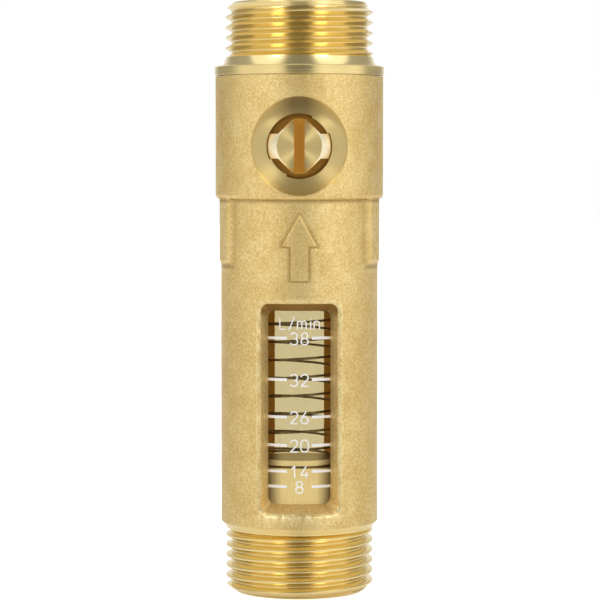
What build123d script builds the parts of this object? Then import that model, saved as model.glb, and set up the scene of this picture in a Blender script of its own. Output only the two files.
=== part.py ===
from build123d import *
from math import asin, degrees, hypot
import os

# Inline flow meter with a balancing valve, all in millimetres.
# Water enters at the lower G1 end, lifts a sprung float inside a clear sight tube and leaves
# through a ball valve and the upper G1 end. +Z is the flow axis and z = 0 the lower end face.
# The front window, the flow arrow and the slotted valve stem face -Y.

os.makedirs("parts", exist_ok=True)

# Clearances
running_clearance = 0.05  # shaft in its bore
slip_clearance = 0.10  # pieces that slide together on assembly
ball_clearance = 0.08  # ball to its two seats

# Overall length and the two threaded ends, G1 to ISO 228
total_length = 132.5
thread_major_radius = 33.249 / 2
inlet_spigot_length = 14.7
inlet_end_step = 2.2245  # the end chamfer's depth, taken off the radius
inlet_chamfer_height = 1.4
outlet_thread_length = 12.3
outlet_end_step = 1.6245
outlet_chamfer_height = 1.4

# Outside of the casting
barrel_radius = thread_major_radius + 1.0255
barrel_shoulder_rise = 1.2  # machined cone from the thread up to the barrel
ledge_depth = 1.2  # rounded underside of the housing
housing_radius = barrel_radius + ledge_depth
housing_below_valve = 11.9

# Top connector
collar_overhang = 0.15  # collar beyond the housing
collar_radius = housing_radius + collar_overhang
collar_thickness = 2.3
collar_edge = 0.25
flare_radius = thread_major_radius + 0.6755
flare_height = 2.0
nose_wall_inset = 4.6  # from the housing's radius to the nose
nose_radius = housing_radius - nose_wall_inset
nose_length = 6.0
nose_bore_radius = 7.6
outlet_bore_radius = 12.0
outlet_bore_depth = 11.5
outlet_cone_length = 8.0
connector_seal_height = 1.5
connector_seal_width = 1.6
preload_ring_height = 1.0
preload_ring_width = 1.6

# Wrench ears, one on each side under the housing
ear_radius = housing_radius - 0.15
ear_flats = 2 * ear_radius - 1.7
ear_half_depth = 0.55 * ear_radius
ear_length = 14.4
ear_root_round = 1.5
ear_edge_round = 0.9

# Cast flow arrow on the front
arrow_below_ledge = 3.1
arrow_head_length = 7.3
arrow_shaft_length = 7.6
arrow_head_half_width = 4.1
arrow_shaft_half_width = 2.05
arrow_relief = 0.35

# Ball and its chamber
ball_radius = 9.8
ball_bore_radius = ball_radius - 3.3
seat_reach = ball_radius - 4.6  # seat's inner end from the ball's centre
seat_bore_radius = ball_bore_radius + 0.4
chamber_gap = 1.5  # round the ball
chamber_radius = ball_radius + chamber_gap
chamber_half_height = ball_radius - 0.2
passage_radius = 7.0
passage_length = 12.7

# Stem and its socket, distances taken outwards from the flow axis
spotface_radius = 10.75
spotface_inset = 3.55  # below the housing's surface
socket_inset = 2.0  # below the spotface
land_radius = 6.75
lug_recess_radius = 7.2
neck_bore_radius = 4.0
neck_length = 1.9
stem_recess_radius = 5.2
stem_end_inset = 1.65
stem_end_radius = 4.95
stem_head_radius = 6.1
stem_flats = 10.45
stem_disc_radius = 6.65
stem_disc_thickness = 0.5
stem_washer_thickness = 0.3
lug_radius = 7.0
lug_half_height = 2.7
stop_clearance_angle = 1.0
screwdriver_slot_width = 2.3
screwdriver_slot_depth = 2.3
tongue_thickness = 3.0
tongue_reach = 2.2  # into the ball
stem_seal_width = 1.3
stem_seal_section = 1.0
stem_ring_thickness = 0.6
stem_ring_groove = 0.55
stem_ring_radius = 5.0

# Sight tube and what closes its two ends
barrel_wall = 4.3
tube_wall = 3.05
sight_bore_radius = barrel_radius - barrel_wall
tube_radius = sight_bore_radius - slip_clearance
tube_bore_radius = tube_radius - tube_wall
tube_bottom = 10.2
spring_seat_flange = 1.5
spring_seat_skirt = 3.7
spring_seat_wall = 1.2
tube_seal_section = 1.5
tube_seal_width = 1.9
tube_seal_from_end = 5.2
seal_bulge = 0.3  # height of a squeezed seal's free side, as a share of its width
bush_wall = 0.8
bush_bore_radius = tube_bore_radius - slip_clearance - bush_wall
bush_nose_length = 2.0
bush_lead_in = 1.0
inlet_ring_bottom = 1.2
inlet_ring_thickness = 1.2
inlet_ring_groove_depth = 0.7
inlet_ring_width = 1.7
inlet_ring_gap = 7.0

# The two windows, front and back
window_inner_width = 0.57 * 2 * sight_bore_radius  # at the depth of the sight bore
window_inner_bottom = 21.05
window_below_bore_top = 14.0
window_inner_corner = 1.5
window_draft = 1.5  # each side, from the sight bore out to the barrel's surface
window_end_draft_low = 1.65
window_end_draft_high = 2.0
window_outer_corner = 2.0

# Float, its orifice and its spring
float_clearance = 0.3  # to the tube
float_wall = 2.0
float_radius = tube_bore_radius - float_clearance
float_bore_radius = float_radius - float_wall
float_collar_radius = float_radius - 0.65
float_rest_gap = 0.3
float_length = 17.7
float_collar_length = 1.55
float_web_thickness = 2.0
float_skirt_length = 3.0
orifice_radius = 3.6
orifice_rim_radius = float_bore_radius - 1.7
orifice_thickness = 1.2
orifice_lip = 0.6
spring_wire_radius = 0.275
spring_mean_radius = tube_bore_radius - 0.4
spring_coils = 10.7

# Levels that follow from the sizes above, from the top end down to the sight bore
outlet_thread_bottom = total_length - outlet_thread_length
collar_top = outlet_thread_bottom - flare_height
housing_top = collar_top - collar_thickness
nose_bottom = housing_top - nose_length
valve_height = nose_bottom - chamber_half_height  # height of the stem and ball axis
chamber_bottom = valve_height - chamber_half_height
sight_bore_top = chamber_bottom - passage_length
housing_bottom = valve_height - housing_below_valve
ear_bottom = housing_bottom - ear_length
arrow_tip = housing_bottom - arrow_below_ledge
arrow_head_base = arrow_tip - arrow_head_length
arrow_tail = arrow_head_base - arrow_shaft_length
window_inner_top = sight_bore_top - window_below_bore_top
tube_top = sight_bore_top - spring_seat_flange
spring_seat_bottom = tube_top - spring_seat_skirt

# Levels from the bottom end up
barrel_bottom = inlet_spigot_length + barrel_shoulder_rise
inlet_ring_top = inlet_ring_bottom + inlet_ring_thickness
bush_nose_top = tube_bottom + bush_nose_length
float_bottom = bush_nose_top + float_rest_gap
float_top = float_bottom + float_length
float_spring_seat = float_top - float_collar_length
float_web_bottom = float_bottom + float_skirt_length
float_web_top = float_web_bottom + float_web_thickness

# Depths of the valve stem, outwards from the flow axis
spotface_depth = housing_radius - spotface_inset
socket_depth = spotface_depth - socket_inset
stem_recess_depth = socket_depth - neck_length
stem_end = housing_radius - stem_end_inset
tongue_start = ball_radius - tongue_reach
stem_washer_top = socket_depth + stem_washer_thickness
stem_disc_top = stem_washer_top + stem_disc_thickness

stem_frame = Plane(origin=(0, 0, valve_height), x_dir=(1, 0, 0), z_dir=(0, -1, 0))


def cylinder(radius, bottom, top):
    return Pos(0, 0, bottom) * Cylinder(radius, top - bottom, align=(Align.CENTER, Align.CENTER, Align.MIN))


def ring(outer, inner, bottom, top):
    return cylinder(outer, bottom, top) - cylinder(inner, bottom, top)


def spun(edges):
    # closed (radius, height) outline turned about the local Z axis
    return revolve(Plane.XZ * make_face(edges), Axis.Z)


def turned(corners):
    return spun(Polyline(*corners, close=True))


def squeezed_seal(inner, outer, bottom, top):
    # an O-ring as it sits in its gland: flat where the two walls squeeze it, bulged at its free sides
    middle = (inner + outer) / 2
    bulge = seal_bulge * (outer - inner)
    return turned(
        [
            (inner, bottom + bulge),
            (middle, bottom),
            (outer, bottom + bulge),
            (outer, top - bulge),
            (middle, top),
            (inner, top - bulge),
        ]
    )


def matching_edges(shape, wanted):
    # edges of shape that have the same centres as the wanted ones
    centres = [edge.center() for edge in wanted]
    return [e for e in shape.edges() if any((e.center() - centre).length < 0.01 for centre in centres)]


def barrel_and_housing():
    # outer form of the casting: threaded spigot, barrel, rounded ledge and valve housing
    ledge_top = housing_bottom + ledge_depth
    lower = Polyline(
        (0, 0),
        (thread_major_radius - inlet_end_step, 0),
        (thread_major_radius, inlet_chamfer_height),
        (thread_major_radius, inlet_spigot_length),
        (barrel_radius, barrel_bottom),
        (barrel_radius, housing_bottom),
    )
    ledge = CenterArc((barrel_radius, ledge_top), ledge_depth, -90, 90)
    upper = Polyline((housing_radius, ledge_top), (housing_radius, housing_top), (0, housing_top), (0, 0))
    return spun([lower, ledge, upper])


def wrench_ears():
    # two ears that carry the housing's radius down to the wrench flats
    ears = Circle(ear_radius) & Rectangle(ear_flats, 2 * ear_half_depth)
    height = housing_bottom + ledge_depth - ear_bottom
    prism = Pos(0, 0, ear_bottom) * extrude(Circle(barrel_radius) + ears, height)
    upright = prism.edges().filter_by(Axis.Z)
    roots = [e for e in upright if hypot(e.center().X, e.center().Y) < (barrel_radius + ear_radius) / 2]
    rims = [e for e in upright if hypot(e.center().X, e.center().Y) > (barrel_radius + ear_radius) / 2]
    prism = fillet(rims, ear_edge_round)
    return fillet(matching_edges(prism, roots), ear_root_round)


def flow_arrow():
    outline = Polyline(
        (0, arrow_tip),
        (arrow_head_half_width, arrow_head_base),
        (arrow_shaft_half_width, arrow_head_base),
        (arrow_shaft_half_width, arrow_tail),
        (-arrow_shaft_half_width, arrow_tail),
        (-arrow_shaft_half_width, arrow_head_base),
        (-arrow_head_half_width, arrow_head_base),
        close=True,
    )
    prism = extrude(Plane.XZ * make_face(outline), barrel_radius + 1)
    skin = cylinder(barrel_radius + arrow_relief, arrow_tail - 1, arrow_tip + 1)
    return prism & (skin - cylinder(barrel_radius - 1, arrow_tail - 1, arrow_tip + 1))


def window_cutter(side):
    # drafted opening through the barrel wall; side is -1 for the front and +1 for the back
    def section(depth):
        share = (depth - sight_bore_radius) / (barrel_radius - sight_bore_radius)
        width = window_inner_width + share * 2 * window_draft
        bottom = window_inner_bottom - share * window_end_draft_low
        top = window_inner_top + share * window_end_draft_high
        corner = window_inner_corner + share * (window_outer_corner - window_inner_corner)
        plane = Plane(origin=(0, side * depth, (bottom + top) / 2), x_dir=(1, 0, 0), z_dir=(0, side, 0))
        return plane * RectangleRounded(width, top - bottom, corner)

    return loft([section(sight_bore_radius - 4), section(barrel_radius + 2)], ruled=True)


def lug_sector(start, sweep):
    # the part of the stem socket that a lug turns through, up to the two stops
    arc = CenterArc((0, 0), lug_recess_radius, start, sweep)
    sides = [Line((0, 0), arc @ 0), Line(arc @ 1, (0, 0))]
    return Pos(0, 0, socket_depth) * extrude(make_face([arc] + sides), spotface_depth + 1 - socket_depth)


def stem_socket():
    # spotface, lug socket with its stops, neck bore and the flat inside for the retaining ring
    stop_angle = degrees(asin(lug_half_height / lug_radius)) + stop_clearance_angle
    sweep = 90 + 2 * stop_angle
    cut = cylinder(spotface_radius, spotface_depth, housing_radius + 1)
    cut += cylinder(land_radius, socket_depth, spotface_depth + 1)
    cut += lug_sector(stop_angle - sweep, sweep)
    cut += lug_sector(180 + stop_angle - sweep, sweep)
    cut += cylinder(neck_bore_radius, stem_recess_depth - 1, socket_depth + 1)
    cut += cylinder(stem_recess_radius, chamber_radius - 4, stem_recess_depth)
    return stem_frame * cut


def body_casting():
    body = barrel_and_housing() + wrench_ears() + flow_arrow()
    body -= cylinder(sight_bore_radius, -1, sight_bore_top)
    groove_radius = sight_bore_radius + inlet_ring_groove_depth
    body -= cylinder(groove_radius, inlet_ring_bottom, inlet_ring_top)
    body -= cylinder(passage_radius, sight_bore_top - 1, chamber_bottom + 1)
    body -= cylinder(chamber_radius, chamber_bottom, nose_bottom + 1)
    body -= cylinder(nose_radius + running_clearance, nose_bottom, housing_top + 1)
    seal_bore = nose_radius + connector_seal_width + running_clearance
    body -= cylinder(seal_bore, housing_top - connector_seal_height, housing_top + 1)
    body -= window_cutter(-1)
    body -= window_cutter(1)
    return body - stem_socket()


def top_connector():
    return turned(
        [
            (nose_bore_radius, nose_bottom),
            (nose_radius, nose_bottom),
            (nose_radius, housing_top),
            (collar_radius - collar_edge, housing_top),
            (collar_radius, housing_top + collar_edge),
            (collar_radius, collar_top - collar_edge),
            (collar_radius - collar_edge, collar_top),
            (flare_radius, collar_top),
            (thread_major_radius, outlet_thread_bottom),
            (thread_major_radius, total_length - outlet_chamfer_height),
            (thread_major_radius - outlet_end_step, total_length),
            (outlet_bore_radius, total_length),
            (outlet_bore_radius, total_length - outlet_bore_depth),
            (nose_bore_radius, total_length - outlet_bore_depth - outlet_cone_length),
        ]
    )


def connector_seal():
    inner = nose_radius + running_clearance
    return ring(nose_radius + connector_seal_width, inner, housing_top - connector_seal_height, housing_top)


def ball_seat(bottom, top):
    seat = ring(chamber_radius - slip_clearance, seat_bore_radius, bottom, top)
    return seat - Pos(0, 0, valve_height) * Sphere(ball_radius + ball_clearance)


def seat_preload_ring():
    outer = chamber_radius - slip_clearance
    return ring(outer, outer - preload_ring_width, nose_bottom - preload_ring_height, nose_bottom)


def ball():
    sphere = Pos(0, 0, valve_height) * Sphere(ball_radius)
    sphere -= cylinder(ball_bore_radius, valve_height - 2 * ball_radius, valve_height + 2 * ball_radius)
    slot_length = 2 * neck_bore_radius + slip_clearance
    slot = Box(slot_length, tongue_thickness + 2 * running_clearance, ball_radius)
    slot_floor = tongue_start - slip_clearance
    return sphere - stem_frame * (Pos(0, 0, slot_floor + ball_radius / 2) * slot)


def stem():
    # turned shaft with its tongue, two grooves, stop lugs and the slotted head
    shaft_radius = neck_bore_radius - running_clearance
    seal_bottom = (stem_recess_depth + socket_depth - stem_seal_width) / 2
    ring_bottom = stem_recess_depth - stem_ring_thickness
    shaft = cylinder(shaft_radius, tongue_start, stem_washer_top)
    shaft -= ring(
        shaft_radius + 1, neck_bore_radius - stem_seal_section, seal_bottom, seal_bottom + stem_seal_width
    )
    shaft -= ring(shaft_radius + 1, shaft_radius - stem_ring_groove, ring_bottom, stem_recess_depth)
    waist = ball_radius + slip_clearance - tongue_start
    flank = Box(2 * neck_bore_radius, neck_bore_radius, waist, align=(Align.CENTER, Align.MIN, Align.MIN))
    for turn in (0, 180):
        shaft -= Rot(0, 0, turn) * Pos(0, tongue_thickness / 2, tongue_start) * flank
    disc = cylinder(stem_disc_radius, stem_washer_top, stem_disc_top)
    head_section = Rot(0, 0, 45) * Rectangle(stem_flats, stem_flats) & Circle(stem_head_radius)
    head_section += Rectangle(2 * lug_radius, 2 * lug_half_height) & Circle(lug_radius)
    head = Pos(0, 0, stem_disc_top) * extrude(head_section, stem_end - stem_disc_top)
    bevel = lug_radius + 1 - stem_end_radius
    head &= turned(
        [
            (0, stem_disc_top),
            (lug_radius + 1, stem_disc_top),
            (lug_radius + 1, stem_end - bevel),
            (stem_end_radius, stem_end),
            (0, stem_end),
        ]
    )
    slot = Box(screwdriver_slot_width, 2 * lug_radius, 2 * screwdriver_slot_depth)
    return stem_frame * (shaft + disc + head - Pos(0, 0, stem_end) * slot)


def stem_seal():
    seal_bottom = (stem_recess_depth + socket_depth - stem_seal_width) / 2
    return stem_frame * squeezed_seal(
        neck_bore_radius - stem_seal_section, neck_bore_radius, seal_bottom, seal_bottom + stem_seal_width
    )


def stem_washer():
    return stem_frame * ring(
        stem_disc_radius, neck_bore_radius + running_clearance, socket_depth, stem_washer_top
    )


def stem_retaining_ring():
    # open ring snapped into the stem's groove inside the chamber
    inner = neck_bore_radius - running_clearance - stem_ring_groove
    clip = ring(stem_ring_radius, inner, stem_recess_depth - stem_ring_thickness, stem_recess_depth)
    mouth = Box(inner, stem_ring_radius, 2 * stem_recess_depth, align=(Align.CENTER, Align.MIN, Align.MIN))
    return stem_frame * (clip - mouth)


def sight_tube():
    tube = ring(tube_radius, tube_bore_radius, tube_bottom, tube_top)
    for middle in (tube_bottom + tube_seal_from_end, tube_top - tube_seal_from_end):
        groove = (middle - tube_seal_width / 2, middle + tube_seal_width / 2)
        tube -= ring(tube_radius + 1, sight_bore_radius - tube_seal_section, *groove)
    return tube


def tube_seal(middle):
    half = tube_seal_width / 2
    return squeezed_seal(sight_bore_radius - tube_seal_section, sight_bore_radius, middle - half, middle + half)


def spring_seat():
    # flanged bush that closes the tube's top and stops the spring
    skirt_radius = tube_bore_radius - slip_clearance
    bush = ring(tube_radius, skirt_radius - spring_seat_wall, tube_top, sight_bore_top)
    return bush + ring(skirt_radius, skirt_radius - spring_seat_wall, spring_seat_bottom, tube_top)


def inlet_bush():
    # carries the tube from below and stops the float at rest
    nose = tube_bore_radius - slip_clearance
    return turned(
        [
            (bush_bore_radius + bush_lead_in, inlet_ring_top),
            (tube_radius, inlet_ring_top),
            (tube_radius, tube_bottom),
            (nose, tube_bottom),
            (nose, bush_nose_top),
            (bush_bore_radius, bush_nose_top),
            (bush_bore_radius, inlet_ring_top + bush_lead_in),
        ]
    )


def inlet_retaining_ring():
    outer = sight_bore_radius + inlet_ring_groove_depth - running_clearance
    clip = ring(outer, outer - inlet_ring_width, inlet_ring_bottom, inlet_ring_top)
    mouth = Box(inlet_ring_gap, 2 * outer, 2 * inlet_ring_top, align=(Align.CENTER, Align.MIN, Align.CENTER))
    return clip - mouth


def sprung_float():
    # moulded cup that rides on the tube wall, with a collar for the spring and a web for the orifice
    cup = turned(
        [
            (float_bore_radius, float_bottom),
            (float_radius, float_bottom),
            (float_radius, float_spring_seat),
            (float_collar_radius, float_spring_seat),
            (float_collar_radius, float_top),
            (float_bore_radius, float_top),
            (float_bore_radius, float_web_top),
            (orifice_rim_radius - orifice_lip, float_web_top),
            (orifice_rim_radius - orifice_lip, float_web_bottom),
            (float_bore_radius, float_web_bottom),
        ]
    )
    pocket = cylinder(orifice_rim_radius, float_web_bottom, float_web_bottom + orifice_thickness)
    return cup - pocket


def orifice_insert():
    # sharp-edged disc that sets the range, pressed into the float's web from below
    rim = orifice_rim_radius - running_clearance
    top = float_web_bottom + orifice_thickness
    return turned(
        [
            (orifice_radius, float_web_bottom),
            (rim, float_web_bottom),
            (rim, top),
            (orifice_radius + orifice_thickness, top),
        ]
    )


def float_spring():
    # right-hand compression spring, closed at both ends
    low = float_spring_seat + spring_wire_radius
    high = spring_seat_bottom - spring_wire_radius
    wire = RegularPolygon(spring_wire_radius, 6)
    end_wire = Rot(0, 0, 10) * wire  # turned a little, so that no face of an end coil lies in one of the helix
    path = Pos(0, 0, low) * Helix((high - low) / spring_coils, high - low, spring_mean_radius)
    start = Plane(origin=path @ 0, x_dir=(1, 0, 0), z_dir=path % 0)
    coil = sweep(start * wire, path=path, is_frenet=True)
    for level in (low, high):
        ends = Plane(origin=(spring_mean_radius, 0, level), x_dir=(1, 0, 0), z_dir=(0, 1, 0))
        coil += revolve(ends * end_wire, Axis.Z)
    return coil


nodes = {
    "body_casting": body_casting(),
    "top_connector": top_connector(),
    "connector_seal": connector_seal(),
    "seat_lower": ball_seat(chamber_bottom, valve_height - seat_reach),
    "seat_upper": ball_seat(valve_height + seat_reach, nose_bottom - preload_ring_height),
    "seat_preload_ring": seat_preload_ring(),
    "ball": ball(),
    "stem": stem(),
    "stem_seal": stem_seal(),
    "stem_washer": stem_washer(),
    "stem_retaining_ring": stem_retaining_ring(),
    "sight_tube": sight_tube(),
    "tube_seal_lower": tube_seal(tube_bottom + tube_seal_from_end),
    "tube_seal_upper": tube_seal(tube_top - tube_seal_from_end),
    "spring_seat": spring_seat(),
    "float_spring": float_spring(),
    "float": sprung_float(),
    "orifice_insert": orifice_insert(),
    "inlet_bush": inlet_bush(),
    "inlet_retaining_ring": inlet_retaining_ring(),
}

for name, shape in nodes.items():
    export_step(shape, f"parts/{name}.step")
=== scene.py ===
import bpy
import bmesh
import math
from math import cos, hypot, pi, radians, sin, sqrt
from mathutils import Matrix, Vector, noise


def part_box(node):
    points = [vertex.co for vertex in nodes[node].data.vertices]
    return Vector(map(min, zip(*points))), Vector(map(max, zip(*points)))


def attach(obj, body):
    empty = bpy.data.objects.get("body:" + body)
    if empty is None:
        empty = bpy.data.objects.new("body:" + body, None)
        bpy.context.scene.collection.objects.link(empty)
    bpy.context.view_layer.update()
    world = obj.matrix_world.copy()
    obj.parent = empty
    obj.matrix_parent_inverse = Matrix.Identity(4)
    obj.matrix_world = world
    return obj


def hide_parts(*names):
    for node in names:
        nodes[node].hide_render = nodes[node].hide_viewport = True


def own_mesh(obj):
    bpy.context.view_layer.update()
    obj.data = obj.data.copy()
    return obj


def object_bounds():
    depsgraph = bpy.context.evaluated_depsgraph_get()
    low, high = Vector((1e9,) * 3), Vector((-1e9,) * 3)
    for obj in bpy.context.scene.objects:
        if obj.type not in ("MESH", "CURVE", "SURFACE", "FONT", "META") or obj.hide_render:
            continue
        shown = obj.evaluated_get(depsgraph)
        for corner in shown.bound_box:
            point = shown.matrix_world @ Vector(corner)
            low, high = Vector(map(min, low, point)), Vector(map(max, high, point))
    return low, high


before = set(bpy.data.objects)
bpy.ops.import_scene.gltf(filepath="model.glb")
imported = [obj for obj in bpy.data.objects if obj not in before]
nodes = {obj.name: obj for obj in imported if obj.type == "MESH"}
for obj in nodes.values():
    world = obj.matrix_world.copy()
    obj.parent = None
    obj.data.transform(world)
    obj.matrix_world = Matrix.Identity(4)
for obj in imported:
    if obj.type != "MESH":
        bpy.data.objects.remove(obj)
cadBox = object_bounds()
mm = 0.001

# levels that the pieces share, in mm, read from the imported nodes
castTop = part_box("body_casting")[1].z / mm
totalHeight = cadBox[1].z / mm
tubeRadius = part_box("sight_tube")[1].x / mm
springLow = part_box("float_spring")[0].z / mm
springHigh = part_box("float_spring")[1].z / mm
valveHeight = (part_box("stem")[0].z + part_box("stem")[1].z) / 2 / mm


# small helpers

def linear(hexColour):
    # sRGB hex to linear
    parts = [int(hexColour[i:i + 2], 16) / 255 for i in (1, 3, 5)]
    return [c / 12.92 if c <= 0.04045 else ((c + 0.055) / 1.055) ** 2.4 for c in parts] + [1.0]


def firstOutput(node):
    return next(socket for socket in node.outputs if socket.enabled)


def addNode(tree, kind, given=(), into=None, steps=(), **settings):
    # one node, a shader node by its short kind; given holds sockets, nodes or values, by name or in the order of
    # the inputs in use; the first output goes into a socket, and steps are the (place, colour) pairs of a ramp
    node = tree.nodes.new(kind if kind.startswith("GeometryNode") else "ShaderNode" + kind)
    for name, value in settings.items():
        setattr(node, name, value)
    if isinstance(given, dict):
        pairs = [(node.inputs[name], value) for name, value in given.items()]
    else:
        pairs = zip([socket for socket in node.inputs if socket.enabled], given)
    for socket, value in pairs:
        if isinstance(value, bpy.types.Node):
            value = firstOutput(value)
        if isinstance(value, bpy.types.NodeSocket):
            tree.links.new(value, socket)
        else:
            socket.default_value = value
    for i, (place, colour) in enumerate(steps):
        elements = node.color_ramp.elements
        element = elements[0] if i == 0 else elements[-1] if i == len(steps) - 1 else elements.new(place)
        element.position = place
        element.color = linear(colour) if isinstance(colour, str) else [colour] * 3 + [1.0]
    if into:
        tree.links.new(firstOutput(node), into)
    return node


mats = {}


def newMaterial(key, name, base, metallic, roughness, **sockets):
    material = bpy.data.materials.new(name)
    material.use_nodes = True
    shader = material.node_tree.nodes["Principled BSDF"]
    sockets.update({"Base_Color": linear(base), "Metallic": metallic, "Roughness": roughness})
    for socket, value in sockets.items():
        shader.inputs[socket.replace("_", " ")].default_value = value
    material.diffuse_color = linear(base)
    mats[key] = material
    return material.node_tree, shader


def objectAxis(tree, axis):
    # place on a piece along X, Y or Z
    place = addNode(tree, "TexCoord").outputs["Object"]
    return addNode(tree, "SeparateXYZ", (place,)).outputs[axis]


def objectNoise(tree, sizeMm, detail=2.0, rough=0.5, stretch=(1, 1, 1)):
    # noise whose blotches are about sizeMm across
    place = addNode(tree, "TexCoord").outputs["Object"]
    scaled = addNode(tree, "Mapping", {"Vector": place, "Scale": stretch})
    return addNode(tree, "TexNoise", {"Vector": scaled, "Scale": 1 / (sizeMm * mm),
                                      "Detail": detail, "Roughness": rough})


def fromAxis(tree, centre, keep):
    # distance from an axis through centre; keep is 0 along the axis and 1 across it
    place = addNode(tree, "TexCoord").outputs["Object"]
    arm = addNode(tree, "VectorMath", (place, centre), operation="SUBTRACT")
    flat = addNode(tree, "VectorMath", (arm, keep), operation="MULTIPLY")
    return flat, addNode(tree, "VectorMath", (flat,), operation="LENGTH")


def acrossMarks(tree, centre, axis, into):
    # direction across the cutter marks of a face turned round an axis; highlights stretch along it
    place = addNode(tree, "TexCoord").outputs["Object"]
    arm = addNode(tree, "VectorMath", (place, centre), operation="SUBTRACT")
    along = addNode(tree, "VectorMath", (axis, arm), operation="CROSS_PRODUCT")
    turned = addNode(tree, "VectorTransform", (along,), vector_type="VECTOR",
                     convert_from="OBJECT", convert_to="WORLD")
    facing = addNode(tree, "NewGeometry").outputs["Normal"]
    across = addNode(tree, "VectorMath", (facing, turned), operation="CROSS_PRODUCT")
    addNode(tree, "VectorMath", (across,), into, operation="NORMALIZE")


def makeObject(name, mesh, body, materials=()):
    piece = bpy.data.objects.new(name, mesh)
    bpy.context.scene.collection.objects.link(piece)
    if not mesh.materials:
        for material in materials:
            mesh.materials.append(material)
    if body:
        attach(piece, body)
    return piece


def sharpAt(mesh, degrees):
    mesh.shade_smooth()
    mesh.set_sharp_from_angle(angle=radians(degrees))


def meshFrom(bm, name):
    bmesh.ops.recalc_face_normals(bm, faces=bm.faces)
    mesh = bpy.data.meshes.new(name)
    bm.to_mesh(mesh)
    bm.free()
    return mesh


def smoothCopy(node, name, degrees=28):
    # merged, smoothly shaded copy of a CAD node
    bm = bmesh.new()
    bm.from_mesh(nodes[node].data)
    bmesh.ops.remove_doubles(bm, verts=bm.verts, dist=0.002 * mm)
    bmesh.ops.dissolve_degenerate(bm, edges=bm.edges, dist=0.001 * mm)
    mesh = meshFrom(bm, name)
    sharpAt(mesh, degrees)
    return mesh


def latheMesh(name, profile, segments):
    # closed (radius, height) outline in mm turned about the flow axis; radius 0 closes at a pole
    bm = bmesh.new()
    rings = []
    for radius, height in profile:
        turns = [2 * pi * i / segments for i in range(segments if radius > 0 else 1)]
        rings.append([bm.verts.new((radius * mm * cos(turn), radius * mm * sin(turn), height * mm)) for turn in turns])
    for first, second in zip(rings, rings[1:] + rings[:1]):
        if len(first) == 1 and len(second) == 1:
            continue
        for i in range(segments):
            j = (i + 1) % segments
            corners = [first[i % len(first)], first[j % len(first)], second[j % len(second)], second[i % len(second)]]
            bm.faces.new(dict.fromkeys(corners))
    return meshFrom(bm, name)


def startTree(name, source, *inputs):
    # an empty tree with a geometry input, its named values and a material
    tree = bpy.data.node_groups.new(name, "GeometryNodeTree")
    kinds = {source: "Geometry", "Steps": "Int", "Material": "Material"}
    for label in (source, *inputs, "Material"):
        tree.interface.new_socket(label, in_out="INPUT", socket_type="NodeSocket" + kinds.get(label, "Float"))
    tree.interface.new_socket("Mesh", in_out="OUTPUT", socket_type="NodeSocketGeometry")
    return tree, tree.nodes.new("NodeGroupInput").outputs


def endTree(tree, geometry, material):
    solid = addNode(tree, "GeometryNodeRealizeInstances", (geometry,))
    result = tree.nodes.new("NodeGroupOutput")
    addNode(tree, "GeometryNodeSetMaterial", {"Geometry": solid, "Material": material}, result.inputs[0])
    return tree


def viaNodes(name, source, tree, values):
    # runs a Geometry Nodes tree on an object and keeps the result as a plain mesh
    bpy.context.scene.collection.objects.link(source)
    modifier = source.modifiers.new("build", "NODES")
    modifier.node_group = tree
    for item in tree.interface.items_tree:
        if item.in_out == "INPUT" and item.name in values:
            modifier[item.identifier] = values[item.name]
    graph = bpy.context.evaluated_depsgraph_get()
    mesh = bpy.data.meshes.new_from_object(source.evaluated_get(graph))
    mesh.name = name
    bpy.data.objects.remove(source)
    if values["Material"].name not in mesh.materials:
        mesh.materials.append(values["Material"])
    return mesh


# materials

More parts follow.
